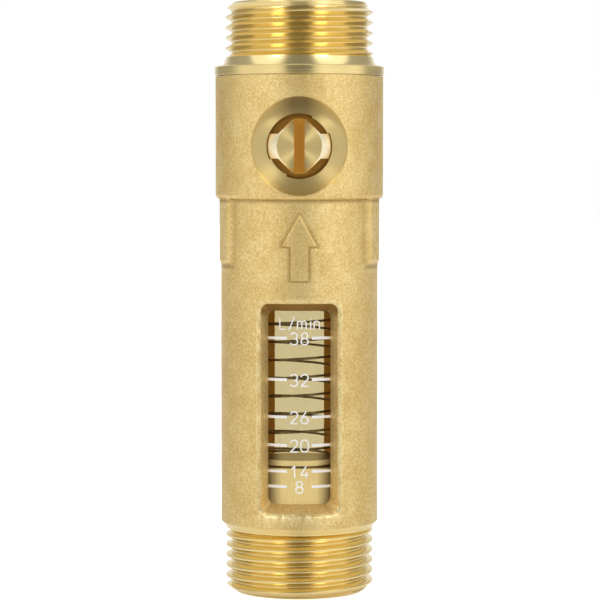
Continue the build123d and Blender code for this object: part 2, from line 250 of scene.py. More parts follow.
def makeMaterials():
    flowAxis, valveCentre = (0, 0, 1), (0, 0, valveHeight * mm)
    latheMarks = (0.02, 0.02, 1)  # stretches noise into rings round the flow axis

    # cast brass, shot blasted: matt and grainy, paler where the grain catches light
    tree, shader = newMaterial("cast", "cast_brass_blasted", "#dcc184", 1.0, 0.5)
    grain = objectNoise(tree, 0.45, 3.0, 0.65)
    blotch = addNode(tree, "MapRange", (objectNoise(tree, 5.0, 3.0), 0.3, 0.7, -0.08, 0.08))
    mixed = addNode(tree, "Math", (blotch, grain), operation="ADD")
    tone = addNode(tree, "ValToRGB", (mixed,), steps=[(0.25, "#cdab67"), (0.5, "#e5c884"), (0.75, "#f5e1a7")])
    # painted shade from a mesh attribute: darker under the ledge, round the arrow and along the ears
    shadeAndGlint = addNode(tree, "Attribute", attribute_name="shadeAndGlint").outputs["Fac"]
    # the lower barrel is painted darker towards the bottom, a painted shade
    lowerShade = addNode(tree, "MapRange", (objectAxis(tree, "Z"), 78 * mm, 50 * mm, 0.0, 0.12))
    castShade = addNode(tree, "Math", (shadeAndGlint, lowerShade), operation="MAXIMUM")
    shadedTone = addNode(tree, "Mix", (castShade, tone, linear("#7d6334")), data_type="RGBA")
    # painted glints: edges are painted bright in flecks where the attribute is negative
    glintNoise = objectNoise(tree, 1.1, 4.0, 0.65, (1, 1, 0.5))
    glintFlecks = addNode(tree, "MapRange", (glintNoise, 0.36, 0.62, 0.0, -0.9))
    paintedGlint = addNode(tree, "Math", (shadeAndGlint, glintFlecks), operation="MULTIPLY", use_clamp=True)
    addNode(tree, "Mix", (paintedGlint, shadedTone, linear("#ffedb8")), shader.inputs["Base Color"], data_type="RGBA")
    addNode(tree, "MapRange", (grain, 0.3, 0.7, 0.56, 0.42), shader.inputs["Roughness"])

    # brass turned in a lathe: fine rings that stretch highlights across the turning marks
    tree, shader = newMaterial("turned", "brass_turned", "#ecd493", 1.0, 0.2, Anisotropic=0.55)
    acrossMarks(tree, (0, 0, 0), flowAxis, shader.inputs["Tangent"])
    rings = objectNoise(tree, 0.6, 2.0, 0.5, latheMarks)
    addNode(tree, "MapRange", (rings, 0.3, 0.7, 0.16, 0.3), shader.inputs["Roughness"])
    addNode(tree, "Bump", {"Height": rings, "Distance": 0.02 * mm, "Strength": 0.25}, shader.inputs["Normal"])

    # brass faced with a rotating cutter: concentric marks that open highlights into fans
    tree, shader = newMaterial("faced", "brass_faced", "#f7dd98", 1.0, 0.4, Anisotropic=0.96)
    acrossMarks(tree, valveCentre, (0, 1, 0), shader.inputs["Tangent"])
    flat, reach = fromAxis(tree, valveCentre, (1, 0, 1))
    count = addNode(tree, "Math", (reach, 1 / (0.35 * mm)), operation="MULTIPLY")
    marks = addNode(tree, "TexNoise", {"W": count, "Scale": 1.0, "Detail": 2.0}, noise_dimensions="1D")
    addNode(tree, "MapRange", (marks, 0.3, 0.7, 0.32, 0.46), shader.inputs["Roughness"])
    addNode(tree, "Bump", {"Height": marks, "Distance": 0.02 * mm, "Strength": 0.12}, shader.inputs["Normal"])
    # painted shade standing in for the dark reflection: a wedge at the top of the spotface and the stem's end face are
    # painted darker
    spot = addNode(tree, "SeparateXYZ", (flat,)).outputs
    aside = addNode(tree, "Math", (spot["X"],), operation="ABSOLUTE")
    high = addNode(tree, "MapRange", (spot["Z"], 5 * mm, 9 * mm, 0.0, 0.55))
    narrow = addNode(tree, "MapRange", (aside, 6 * mm, 1.5 * mm, 0.0, 1.0))
    shadedWedge = addNode(tree, "Math", (narrow, high), operation="MULTIPLY")
    # painted shade on the stem's end face
    end = addNode(tree, "MapRange", (reach, 5.4 * mm, 5.2 * mm, 0.0, 0.15))
    facedShade = addNode(tree, "Math", (shadedWedge, end), operation="MAXIMUM")
    addNode(tree, "Mix", (facedShade, linear("#f7dd98"), linear("#7c6038")), shader.inputs["Base Color"], data_type="RGBA")

    # the windows' walls, milled and then blasted with the skin: grainy, shaded under the upper edge
    tree, shader = newMaterial("wall", "brass_window_milled", "#f4d896", 1.0, 0.62)
    upper = addNode(tree, "MapRange", (objectAxis(tree, "Z"), 62.5 * mm, 64.3 * mm, 0.0, 1.0))
    tone = addNode(tree, "ValToRGB", (objectNoise(tree, 0.5, 3.0, 0.65),),
                   steps=[(0.3, "#dfbf80"), (0.5, "#f6da98"), (0.72, "#fff0b8")])
    addNode(tree, "Mix", (upper, tone, linear("#b58f50")), shader.inputs["Base Color"], data_type="RGBA")

    # brass milled with a small cutter: warm with straight chatter marks, and painted darker in the deep gaps as shade
    tree, shader = newMaterial("milled", "brass_milled", "#eeb04a", 1.0, 0.38)
    # painted shade, darker deeper in the gaps
    deep = addNode(tree, "MapRange", (objectAxis(tree, "Y"), -14.8 * mm, -14.0 * mm, 0.0, 1.0))
    addNode(tree, "Mix", (deep, linear("#eeb04a"), linear("#a87a36")), shader.inputs["Base Color"], data_type="RGBA")

    # bored brass inside the casting, dull from cutting oil; beside the windows it is given a faint glow, painted light
    # standing in for the light the amber tube scatters on to it
    tree, shader = newMaterial("bored", "brass_bored", "#f2bd66", 1.0, 0.5, Anisotropic=0.3,
                               Emission_Color=linear("#cf9a4c"))
    acrossMarks(tree, (0, 0, 0), flowAxis, shader.inputs["Tangent"])
    # painted light: a faint glow beside the windows
    glowBand = addNode(tree, "Math", (objectAxis(tree, "Z"), 43 * mm, 24 * mm), operation="COMPARE")
    addNode(tree, "Math", (glowBand, 0.3), shader.inputs["Emission Strength"], operation="MULTIPLY")

    # amber polysulfone, moulded: clear and warm, bends light strongly
    newMaterial("tube", "polysulfone_moulded", "#d5ccb0", 0.0, 0.02, IOR=1.45, Transmission_Weight=1.0,
                Specular_Tint=linear("#b08a50"))

    # white screen ink, printed: flat and slightly chalky
    tree, shader = newMaterial("ink", "screen_ink_white", "#f1eff0", 0.0, 0.55)
    addNode(tree, "ValToRGB", (objectNoise(tree, 0.5),), shader.inputs["Base Color"],
            steps=[(0.3, "#f4f3f4"), (0.7, "#ffffff")])

    # acetal, moulded: waxy beige with a soft sheen; it glows most in the middle of the cup, painted light standing in
    # for window light scattered in it, and its sides are painted darker as shade
    tree, shader = newMaterial("acetal", "acetal_moulded", "#f6ead0", 0.0, 0.38, Subsurface_Weight=0.15,
                               Subsurface_Radius=(0.002, 0.0015, 0.001), Emission_Color=linear("#ffeebc"))
    waxy = addNode(tree, "ValToRGB", (objectNoise(tree, 3.0),), steps=[(0.3, "#f3e6c8"), (0.7, "#fbf2dc")])
    aside = addNode(tree, "Math", (objectAxis(tree, "X"),), operation="ABSOLUTE")
    middle = addNode(tree, "MapRange", (aside, 6.6 * mm, 3.6 * mm, 0.0, 0.78))
    # painted shade: the base is darker towards the sides of the window
    rim = addNode(tree, "MapRange", (aside, 4.6 * mm, 6.8 * mm, 0.0, 0.9))
    addNode(tree, "Mix", (rim, waxy, linear("#7d5229")), shader.inputs["Base Color"], data_type="RGBA")
    # painted light: the glow, faint on the faces inside the cup
    radius = fromAxis(tree, (0, 0, 0), (1, 1, 0))[1]
    outside = addNode(tree, "MapRange", (radius, 7.85 * mm, 8.0 * mm, 0.12, 1.0))
    addNode(tree, "Math", (middle, outside), shader.inputs["Emission Strength"], operation="MULTIPLY")

    # stainless spring wire, drawn: grey with dull streaks along its length
    tree, shader = newMaterial("steel", "stainless_drawn", "#8f8575", 1.0, 0.36)
    addNode(tree, "ValToRGB", (objectNoise(tree, 1.2),), shader.inputs["Base Color"],
            steps=[(0.3, "#7d7363"), (0.7, "#a29885")])

    # finishes of one colour
    for finish in (
            ("bright", "brass_chamfered_painted_highlight", "#fdf0cc", 1.0, 0.24),  # paler copy of the brass, a painted highlight: nearly white
            ("flare", "brass_fine_turned_painted_highlight", "#f8e2a4", 1.0, 0.2),  # turned last with a sharp tool; its paler colour is a painted highlight
            ("ptfe", "ptfe_turned", "#ecebe6", 0.0, 0.5),  # soft white and dull
            ("rubber", "nitrile_moulded", "#1c1b1a", 0.0, 0.6),  # near black with a low sheen
            ("plated", "chrome_polished", "#d4d4d2", 1.0, 0.08)):
        newMaterial(*finish)

    # fine relief: the noise's size in mm, detail, roughness and stretch, then the bump's depth in mm and strength
    even = (1, 1, 1)
    for key, size, detail, rough, stretch, depth, strength in (
            ("cast", 0.28, 2.0, 0.6, even, 0.05, 0.75),  # blast grain, drawn a little coarser than its 0.15 mm
            ("wall", 0.3, 3.0, 0.6, even, 0.07, 0.9),
            ("milled", 0.5, 2.0, 0.5, (0.15, 1, 1), 0.03, 0.4),  # straight chatter marks
            ("bored", 0.7, 2.0, 0.5, latheMarks, 0.02, 0.3),
            ("bright", 0.6, 2.0, 0.5, even, 0.01, 0.3),
            ("flare", 0.6, 2.0, 0.5, latheMarks, 0.01, 0.2),
            ("acetal", 0.5, 2.0, 0.5, even, 0.01, 0.3),
            ("ptfe", 0.5, 2.0, 0.5, (0.05, 0.05, 1), 0.01, 0.3),
            ("rubber", 0.3, 2.0, 0.5, even, 0.01, 0.3),
            ("plated", 2.0, 2.0, 0.5, even, 0.005, 0.1)):
        tree = mats[key].node_tree
        height = objectNoise(tree, size, detail, rough, stretch)
        addNode(tree, "Bump", {"Height": height, "Distance": depth * mm, "Strength": strength},
                tree.nodes["Principled BSDF"].inputs["Normal"])


makeMaterials()
print("materials", len(mats))


# casting: its outside follows a rule, radius as a function of angle and height

casting = {
    "barrelRadius": 17.65,
    "housingRadius": 18.85,
    "spigotTop": 14.7,
    "barrelBottom": 15.9,
    "ledgeBottom": 88.4,
    "ledgeRound": 1.2,
    "ledgeFillet": 0.12,
    "filletReach": 0.8,
    "earRadius": 18.7,
    "earFlat": 17.85,
    "earHalfDepth": 10.3,
    "earBottom": 74.0,
    "earSoftness": 1.5,
    "arrowRelief": 0.4,
    "arrowEdge": 0.17,
    "rimRound": 0.75,
    "rimWander": 0.22,
    "unevenness": 0.04,
    "grooveDepth": 0.1,
    "grooveHalf": 0.35,
}
# painted shade on the skin (below 0 it is a painted glint): strength, where it peaks and how far it spreads, in mm
shadeAndGlintMarks = {"ledge": (0.55, -0.15, 0.6), "arrow": (0.6, 0.2, 0.38), "earSide": (0.4, -0.5, 0.9),
              "earFoot": (0.5, -0.3, 0.9), "rim": (-1.0, 0.3, 0.7), "rimBelow": (-1.0, 0.3, 2.4)}
# painted highlight on the ears' flat faces
earFaceGlint = -0.5
window = {"innerWidth": 13.8, "innerBottom": 21.05, "innerTop": 64.0, "innerCorner": 1.5,
          "outerWidth": 17.4, "outerBottom": 19.1, "outerTop": 66.0, "outerCorner": 1.8,
          "innerDepth": 13.35, "outerDepth": 17.65, "plugStart": 5, "plugEnd": 22}
arrow = {"tip": 85.3, "headBase": 78.3, "tail": 70.8, "headHalf": 3.95, "shaftHalf": 1.92}
socket = {"spotface": 10.6, "spotfaceDepth": 15.3, "socketDepth": 13.3, "land": 6.75, "recess": 7.2,
          "neck": 4.0, "insideDepth": 11.4, "lugHalf": 2.7, "lugRadius": 7.0, "stopSlack": 1.0,
          "spotfaceFlare": 1.032}
# bores from the inlet up, each with its radius and the height at which it ends
bores = [(13.35, 78.0), (7.0, 90.7), (11.3, 109.9), (14.3, 114.4), (15.9, castTop + 1)]


def smoothStep(low, high, value):
    share = min(1.0, max(0.0, (value - low) / (high - low)))
    return share * share * (3 - 2 * share)


def peak(value, strength, centre, spread):
    return strength * max(0.0, 1 - abs(value - centre) / spread)


def segmentDistance(x, z, a, b):
    ax, az, bx, bz = x - a[0], z - a[1], b[0] - a[0], b[1] - a[1]
    share = min(1.0, max(0.0, (ax * bx + az * bz) / (bx * bx + bz * bz)))
    return hypot(ax - share * bx, az - share * bz)


arrowHalf = [(arrow["headHalf"], arrow["headBase"]), (arrow["shaftHalf"], arrow["headBase"]),
             (arrow["shaftHalf"], arrow["tail"])]
arrowCorners = [(0, arrow["tip"])] + arrowHalf + [(-x, z) for x, z in reversed(arrowHalf)]


def arrowDistance(x, z):
    # signed distance to the arrow's outline, negative inside
    near = min(segmentDistance(x, z, a, b) for a, b in zip(arrowCorners, arrowCorners[1:] + arrowCorners[:1]))
    if arrow["tail"] < z < arrow["headBase"]:
        inside = abs(x) < arrow["shaftHalf"]
    else:
        rise = (arrow["tip"] - z) / (arrow["tip"] - arrow["headBase"])
        inside = arrow["headBase"] <= z < arrow["tip"] and abs(x) < arrow["headHalf"] * rise
    return -near if inside else near


def windowDistance(x, z):
    # signed distance to a window's outer edge, negative inside
    halfWidth = window["outerWidth"] / 2
    halfHeight = (window["outerTop"] - window["outerBottom"]) / 2
    corner = window["outerCorner"]
    dx = abs(x) - halfWidth + corner
    dz = abs(z - (window["outerTop"] + window["outerBottom"]) / 2) - halfHeight + corner
    return hypot(max(dx, 0), max(dz, 0)) + min(max(dx, dz), 0) - corner


def earDepth(y):
    # how far inside the ears' flats a place is, from its share of depth y
    return casting["earHalfDepth"] - abs(y) * casting["earRadius"]


def castRadius(turn, z):
    # turn 0 is the front, positive towards +X
    x, y = sin(turn), -cos(turn)
    radius = barrel = casting["barrelRadius"]
    ledge = z - casting["ledgeBottom"]
    rounding = casting["ledgeRound"]
    if ledge > 0:
        radius += sqrt(max(0.0, rounding ** 2 - (rounding - min(ledge, rounding)) ** 2))
    elif ledge > -casting["filletReach"]:
        radius += casting["ledgeFillet"] * (1 + ledge / casting["filletReach"]) ** 2
    earTop = min(casting["earRadius"], casting["earFlat"] / max(abs(x), 0.2))
    soft = casting["earSoftness"] / 2
    fade = smoothStep(-soft, soft, earDepth(y))
    fade *= smoothStep(casting["earBottom"] - 0.2, casting["earBottom"] + 0.9, z)
    if ledge < rounding:
        radius = max(radius, barrel + fade * (earTop - barrel))
    if abs(barrel * turn) < 6 and arrow["tail"] - 1 < z < arrow["tip"] + 1:
        off = arrowDistance(barrel * x, z)
        radius += casting["arrowRelief"] * smoothStep(casting["arrowEdge"], -casting["arrowEdge"], off)
        radius -= peak(off, casting["grooveDepth"], casting["grooveHalf"], casting["grooveHalf"])
    if abs(x) < 0.8 and z < window["outerTop"] + 3:
        spot = Vector((x * 20, y * 20, z))
        wander = casting["rimWander"] * (noise.noise(spot * 0.9) + 0.5 * noise.noise(spot * 2.1))
        gap = windowDistance(barrel * x, z) + wander
        soft = casting["rimRound"]
        if gap < soft:
            drop = soft - sqrt(max(0.0, soft ** 2 - (soft - max(gap, 0.0)) ** 2))
            radius -= min(drop, 0.75 * soft)
    place = Vector((x * radius, y * radius, z))
    radius += casting["unevenness"] * (noise.noise(place / 7) + 0.5 * noise.noise(place / 2.2))
    return min(radius, casting["housingRadius"] - 0.005)


def castShadeAndGlint(turn, z):
    # painted shade, darkest under the ledge, round the arrow and along the ears; painted glints on the ears' faces and
    # round the windows
    x, depth = casting["barrelRadius"] * sin(turn), earDepth(cos(turn))
    ledge, foot = z - casting["ledgeBottom"], z - casting["earBottom"]
    dull = peak(ledge, *shadeAndGlintMarks["ledge"])
    if abs(turn) < 0.5 and arrow["tail"] - 1 < z < arrow["tip"] + 1:
        dull = max(dull, peak(arrowDistance(x, z), *shadeAndGlintMarks["arrow"]))
    if foot > -2 and ledge < 0:
        if foot > 0:
            dull = max(dull, peak(depth, *shadeAndGlintMarks["earSide"]))
        if depth > -0.5:
            dull = max(dull, peak(foot, *shadeAndGlintMarks["earFoot"]))
        if depth > 0.6 and dull < 0.02 and ledge < -0.8:
            return earFaceGlint
    if abs(sin(turn)) < 0.7 and z < window["outerTop"] + 3:
        return peak(windowDistance(x, z), *shadeAndGlintMarks["rimBelow" if z < window["outerBottom"] else "rim"])
    return dull


def stretches(marks):
    # grid lines from (start, step) marks; the last mark only ends the list
    lines = []
    for (start, step), (end, _) in zip(marks, marks[1:]):
        count = max(1, round((end - start) / step))
        lines += [start + (end - start) * i / count for i in range(count)]
    return lines + [marks[-1][0]]


def castOutside():
    # closed solid: the cast outside with flat ends
    front = stretches([(0, 0.2), (6, 0.45), (8.2, 0.3), (10.6, 0.6), (13.5, 0.6), (16, 0.4),
                       (20.5, 0.9), (27.7, 0.9)])
    arcs = [a / casting["barrelRadius"] for a in front if a / casting["barrelRadius"] < pi / 2 - 0.01]
    half = arcs + [pi / 2] + [pi - a for a in reversed(arcs)]
    turns = half + [-a for a in reversed(half[1:-1])]
    levels = stretches([(casting["barrelBottom"], 0.7), (17.8, 0.35), (21.0, 0.8), (63, 0.35), (67.2, 0.7),
                        (69.6, 0.2), (90.0, 0.45), (91, 1.2), (castTop - 0.4, 0.1), (castTop, 1)])
    bm = bmesh.new()
    # each corner carries its painted shade, or below 0 its painted glint
    shadeAndGlint = bm.verts.layers.float.new("shadeAndGlint")
    rows = [[] for _ in levels]
    for z, row in zip(levels, rows):
        for turn in turns:
            radius = castRadius(turn, z) * mm
            row.append(bm.verts.new((radius * sin(turn), -radius * cos(turn), z * mm)))
            row[-1][shadeAndGlint] = castShadeAndGlint(turn, z)
    return bridged(bm, rows, "castOutside")


def roundedOutline(width, bottom, top, corner, steps=6, spans=14):
    # the level edges are divided too, so that they can follow a cylinder
    points = []
    halfWidth = width / 2
    reach = halfWidth - corner
    for x, z, start in ((halfWidth, top, 0), (-halfWidth, top, 90), (-halfWidth, bottom, 180),
                        (halfWidth, bottom, 270)):
        cx, cz = x - math.copysign(corner, x), z - (corner if z == top else -corner)
        for i in range(steps + 1):
            angle = radians(start + 90 * i / steps)
            points.append((cx + corner * cos(angle), cz + corner * sin(angle)))
        if start in (0, 180):
            way = 1 if start == 0 else -1
            points += [(way * reach * (1 - 2 * i / spans), z) for i in range(1, spans)]
    return points


def bridged(bm, rings, name):
    # closed solid between rings that have equally many corners
    for low, high in zip(rings, rings[1:]):
        for i in range(len(low)):
            j = (i + 1) % len(low)
            bm.faces.new((low[i], low[j], high[j], high[i]))
    bm.faces.new(rings[0][::-1])
    bm.faces.new(rings[-1])
    return meshFrom(bm, name)


def windowCutter(side):
    # plug whose walls run from the inner edge on the bore to the outer edge on the barrel
    bm = bmesh.new()
    inner, outer = [roundedOutline(*[window[place + k] for k in ("Width", "Bottom", "Top", "Corner")])
                    for place in ("inner", "outer")]
    rings = [[bm.verts.new((x * mm, side * window["plugStart"] * mm, z * mm)) for x, z in inner]]
    for outline, radius in ((inner, window["innerDepth"]), (outer, window["outerDepth"])):
        rings.append([bm.verts.new((x * mm, side * sqrt(radius ** 2 - x ** 2) * mm, z * mm)) for x, z in outline])
    rings.append([bm.verts.new((x * mm, side * window["plugEnd"] * mm, z * mm)) for x, z in outer])
    return bridged(bm, rings, "windowCutter")


def stemCutter(outline, inner, outer, flare=1.0):
    # prism across the valve's axis from an (x, z) outline, between two depths; it may widen towards the front
    bm = bmesh.new()
    return bridged(bm, [[bm.verts.new((x * grow * mm, -depth * mm, (valveHeight + z * grow) * mm)) for x, z in outline]
                        for depth, grow in ((inner, 1.0), (outer, flare))], "stemCutter")


def disc(radius, count=96):
    return [(radius * cos(2 * pi * i / count), radius * sin(2 * pi * i / count)) for i in range(count)]


def sector(radius, start, sweep, count=28):
    arc = [radians(start + sweep * i / count) for i in range(count + 1)]
    return [(0, 0)] + [(radius * cos(a), radius * sin(a)) for a in arc]


def boreProfile():
    # everything bored along the flow axis, as one closed outline
    points, low = [(0, 0)], 0
    for radius, top in bores:
        points += [(radius, low), (radius, top)]
        low = top
    return points + [(0, low)]


def cutAway(target, mesh, material):
    mesh.materials.append(material)
    cutter = bpy.data.objects.new("cutter", mesh)
    bpy.context.scene.collection.objects.link(cutter)
    cut = target.modifiers.new("cut", "BOOLEAN")
    cut.object = cutter
    cut.solver = "EXACT"
    cut.operation = "DIFFERENCE"
    cut.material_mode = "TRANSFER"
    graph = bpy.context.evaluated_depsgraph_get()
    result = bpy.data.meshes.new_from_object(target.evaluated_get(graph))
    target.modifiers.remove(cut)
    target.data = result
    bpy.data.objects.remove(cutter)


def makeCasting():
    outside = castOutside()
    outside.materials.append(mats["cast"])
    piece = bpy.data.objects.new("casting", outside)
    bpy.context.scene.collection.objects.link(piece)
    stop = math.degrees(math.asin(socket["lugHalf"] / socket["lugRadius"])) + socket["stopSlack"]
    sweep = 90 + 2 * stop
    front = casting["housingRadius"] + 1
    # the valve's axis is seen from the front here, so a turn towards +Z is anticlockwise
    cuts = [(disc(socket["spotface"]), socket["spotfaceDepth"], socket["spotfaceFlare"], "faced"),
            (disc(socket["land"]), socket["socketDepth"], 1.0, "milled"),
            (sector(socket["recess"], stop - sweep, sweep), socket["socketDepth"], 1.0, "milled"),
            (sector(socket["recess"], 180 + stop - sweep, sweep), socket["socketDepth"], 1.0, "milled"),
            (disc(socket["neck"], 48), socket["insideDepth"] - 1, 1.0, "milled")]
    for outline, depth, flare, material in cuts:
        cutAway(piece, stemCutter(outline, depth, front, flare), mats[material])
    cutAway(piece, latheMesh("bores", boreProfile(), 128), mats["bored"])
    for side in (-1, 1):
        cutAway(piece, windowCutter(side), mats["wall"])
    sharpAt(piece.data, 33)
    piece.data.name = "casting"
    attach(piece, "housing")
    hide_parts("body_casting")
    print("casting", len(piece.data.polygons), "faces")


makeCasting()


# threads: one ridge wound round a core, its ends faded and chamfered

threads = {"pitch": 2.309, "crest": 16.62, "root": 15.2, "steps": 120}


def threadTree():
    # profile curve in, helical ridge out; the crest is held under the chamfer and run-out cones
    tree, given = startTree("thread", "Profile", "Pitch", "Turns", "Radius", "StartHeight", "StartTurn", "LowHeight",
                            "LowRadius", "LowSlope", "HighHeight", "HighRadius", "HighSlope", "Steps")
    rise = addNode(tree, "Math", (given["Pitch"], given["Turns"]), operation="MULTIPLY")
    helix = addNode(tree, "GeometryNodeCurveSpiral", {
        "Resolution": given["Steps"], "Rotations": given["Turns"], "Start Radius": given["Radius"],
        "End Radius": given["Radius"], "Height": rise, "Reverse": True})  # reversed, the helix is right-handed
    upright = addNode(tree, "GeometryNodeSetCurveNormal", {"Curve": helix}, mode="Z_UP")
    ridge = addNode(tree, "GeometryNodeCurveToMesh", {"Curve": upright, "Profile Curve": given["Profile"],
                                                      "Fill Caps": True})
    placed = addNode(tree, "GeometryNodeTransform", {
        "Geometry": ridge, "Translation": addNode(tree, "CombineXYZ", {"Z": given["StartHeight"]}),
        "Rotation": addNode(tree, "CombineXYZ", {"Z": given["StartTurn"]})})
    place = tree.nodes.new("GeometryNodeInputPosition")
    x, y, z = addNode(tree, "SeparateXYZ", (place,)).outputs
    flat = addNode(tree, "VectorMath", (place, (1, 1, 0)), operation="MULTIPLY")
    reach = addNode(tree, "VectorMath", (flat,), operation="LENGTH")
    limits = []
    for end in ("Low", "High"):
        above = addNode(tree, "Math", (z, given[end + "Height"]), operation="SUBTRACT")
        limits.append(addNode(tree, "Math", (above, given[end + "Slope"], given[end + "Radius"]),
                              operation="MULTIPLY_ADD"))
    limit = addNode(tree, "Math", limits, operation="MINIMUM")
    nearer = addNode(tree, "Math", (reach, limit), operation="MINIMUM")
    share = addNode(tree, "Math", (nearer, reach), operation="DIVIDE")
    kept = addNode(tree, "Clamp", (z, given["LowHeight"], given["HighHeight"]))
    moved = addNode(tree, "CombineXYZ", [addNode(tree, "Math", (side, share), operation="MULTIPLY")
                                         for side in (x, y)] + [kept])
    held = addNode(tree, "GeometryNodeSetPosition", {"Geometry": placed, "Position": moved})
    return endTree(tree, held, given["Material"])


def curveObject(name, strokes, kind="3D", lift=0.0, cyclic=False):
    # polylines in mm on the curve's own plane
    curve = bpy.data.curves.new(name, "CURVE")
    curve.dimensions = kind
    for stroke in strokes:
        spline = curve.splines.new("POLY")
        spline.points.add(len(stroke) - 1)
        for point, (x, y) in zip(spline.points, stroke):
            point.co = (x * mm, y * mm, lift * mm, 1)
        spline.use_cyclic_u = cyclic
    return bpy.data.objects.new(name, curve)


def ridgeProfile(crestWidth, shoulderDrop, shoulderWidth, rootWidth):
    # the sweep turns +X outwards, so depth below the crest is negative
    depth = threads["crest"] - threads["root"]
    half = [(-depth - 0.3, rootWidth / 2), (-depth, rootWidth / 2), (-depth + 0.12, rootWidth / 2 - 0.2),
            (-shoulderDrop, shoulderWidth / 2), (0, crestWidth / 2)]
    return half + [(x, -y) for x, y in reversed(half)]


windTree = threadTree()


def threadRidge(name, profile, **values):
    # heights and radii come in mm, turns and slopes (outwards for each mm up) as they are
    settings = {"Pitch": threads["pitch"] * mm, "Radius": threads["crest"] * mm, "Steps": threads["steps"],
                "Material": mats["turned"]}
    for key, value in values.items():
        settings[key] = value * mm if key.endswith(("Height", "Radius")) else value
    return viaNodes(name, curveObject(name + "Profile", [profile], "2D", cyclic=True), windTree, settings)


def joinMeshes(name, meshes):
    bm = bmesh.new()
    for mesh in meshes:
        bm.from_mesh(mesh)
    result = bpy.data.meshes.new(name)
    bm.to_mesh(result)
    bm.free()
    result.materials.append(mats["turned"])
    for polygon in result.polygons:
        polygon.material_index = 0
    sharpAt(result, 24)
    return result


def makeInletThread():
    # machined spigot at the lower end, with blunt crests
    top, barrel, root, bore = casting["spigotTop"], casting["barrelBottom"], threads["root"], bores[0][0]
    core = latheMesh("inletCore", [(bore, 0), (14.35, 0), (root, 0.9), (root, top - 1.1), (15.5, top - 0.7),
                                   (16.55, top - 0.3), (threads["crest"], top), (17.6, barrel),
                                   (17.6, barrel + 0.05), (bore, barrel + 0.05)], 160)
    ridge = threadRidge("inletRidge", ridgeProfile(0.3, 0.1, 0.55, 2.2), Turns=6.85, StartTurn=pi,
                        StartHeight=1.13 - threads["pitch"], LowHeight=0.02, LowRadius=14.3, LowSlope=1.55,
                        HighHeight=top, HighRadius=15.6, HighSlope=-1.2)
    piece = makeObject("inlet_thread", joinMeshes("inlet_thread", [core, ridge]), "housing")
    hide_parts("body_casting")


# radii, then heights over the casting's top or under the connector's own top
connector = {"bore": 7.6, "mouth": 12.0, "rim": 14.8, "spigot": 14.25, "step": 17.2, "collar": 19.0, "waist": 16.9,
             "flare": 16.45, "stepHeight": 0.22, "collarHeight": 2.3, "edge": 0.25, "flareBelow": 12.3,
             "mouthDepth": 11.5, "boreDepth": 19.5}


def makeConnector():
    # turned connector at the upper end: nose, collar, flare and sharp-crested thread
    root, edge, collar = threads["root"], connector["edge"], connector["collar"]
    collarTop, flareTop = castTop + connector["collarHeight"], totalHeight - connector["flareBelow"]
    step = castTop + connector["stepHeight"]
    nose, valveTop = connector["spigot"], bores[2][1]
    core = latheMesh("connectorCore", [
        (connector["bore"], valveTop), (nose, valveTop), (nose, castTop), (connector["step"], castTop),
        (connector["step"], step), (collar - 0.08, step), (collar, step + 0.08), (collar, collarTop - edge),
        (collar - edge, collarTop), (17.3, collarTop), (connector["waist"], collarTop + 0.7),
        (connector["flare"], flareTop), (16.0, flareTop + 0.25), (root, flareTop + 0.8), (root, totalHeight - 0.75),
        (14.95, totalHeight - 0.12), (connector["rim"], totalHeight), (connector["mouth"] + edge, totalHeight),
        (connector["mouth"], totalHeight - edge), (connector["mouth"], totalHeight - connector["mouthDepth"]),
        (connector["bore"], totalHeight - connector["boreDepth"])], 180)
    ridge = threadRidge("outletRidge", ridgeProfile(0.1, 0.08, 0.22, 2.15), Turns=6.0, StartTurn=0.0,
                        StartHeight=flareTop - 1.44, LowHeight=flareTop - 0.5, LowRadius=15.9, LowSlope=0.75,
                        HighHeight=totalHeight - 0.02, HighRadius=14.7, HighSlope=-1.3)
    mesh = joinMeshes("connector", [core, ridge])
    mesh.materials.append(mats["flare"])
    for polygon in mesh.polygons:
        middle = polygon.center / mm
        if collarTop + 0.1 < middle.z < flareTop + 0.2 and hypot(middle.x, middle.y) > 16.2:
            polygon.material_index = 1  # the flare is finished last; its paler brass is a painted highlight
    piece = makeObject("connector", mesh, "housing")
    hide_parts("top_connector")


makeInletThread()
makeConnector()
print("threads wound")


# valve stem: smooth copy with its cut faces told apart by where they look

stemEnd = {"slotHalf": 1.2, "slotDepth": 2.3, "discFront": 3.05}


def makeStem():
    mesh = smoothCopy("stem", "valve_stem", 20)
    normals = mesh.attributes.get("custom_normal")
    if normals:
        mesh.attributes.remove(normals)
    for material in ("faced", "turned", "milled", "bright"):
        mesh.materials.append(mats[material])
    endFace = min(v.co.y for v in mesh.vertices)
    for polygon in mesh.polygons:
        facing = polygon.normal.y
        depth = (polygon.center.y - endFace) / mm
        slotWall = depth < stemEnd["slotDepth"] + 0.1 and abs(facing) < 0.99
        slotFloor = abs(depth - stemEnd["slotDepth"]) < 0.05
        inSlot = abs(polygon.center.x) < stemEnd["slotHalf"] * mm and (slotWall or slotFloor)
        polygon.use_smooth = abs(facing) < 0.3
        if inSlot or depth > stemEnd["discFront"]:
            polygon.material_index = 2
        elif facing < -0.3:
            # faces turned partly to the front get the paler brass, a painted highlight
            polygon.material_index = 3 if facing > -0.95 else 0
        else:
            polygon.material_index = 1
    piece = makeObject("valve_stem", mesh, "valve")
    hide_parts("stem")


makeStem()


# sight tube and its printed scale

scaleMarks = {
    "lineWidth": 0.62,
    "tickOuter": 7.0,
    "tickInner": 2.75,
    "inkHeight": 0.04,
    "strokeWidth": 0.29,
    "digitHeight": 2.65,
    "digitWidth": 1.62,
    "digitStep": 2.32,
    "values": {"38": 57.95, "32": 48.75, "26": 40.45, "20": 34.15, "14": 28.35, "8": 24.95},
    "unitBase": 59.9,
    "unitStart": -4.4,
    "unit": (("L", 2.1), ("/", 1.9), ("m", 2.9), ("i", 0.8), ("n", 1.7)),  # letters and how far each moves on
}


def arcPoints(cx, cy, rx, ry, start, end, count=14):
    return [(cx + rx * cos(radians(start + (end - start) * i / count)),
             cy + ry * sin(radians(start + (end - start) * i / count))) for i in range(count + 1)]


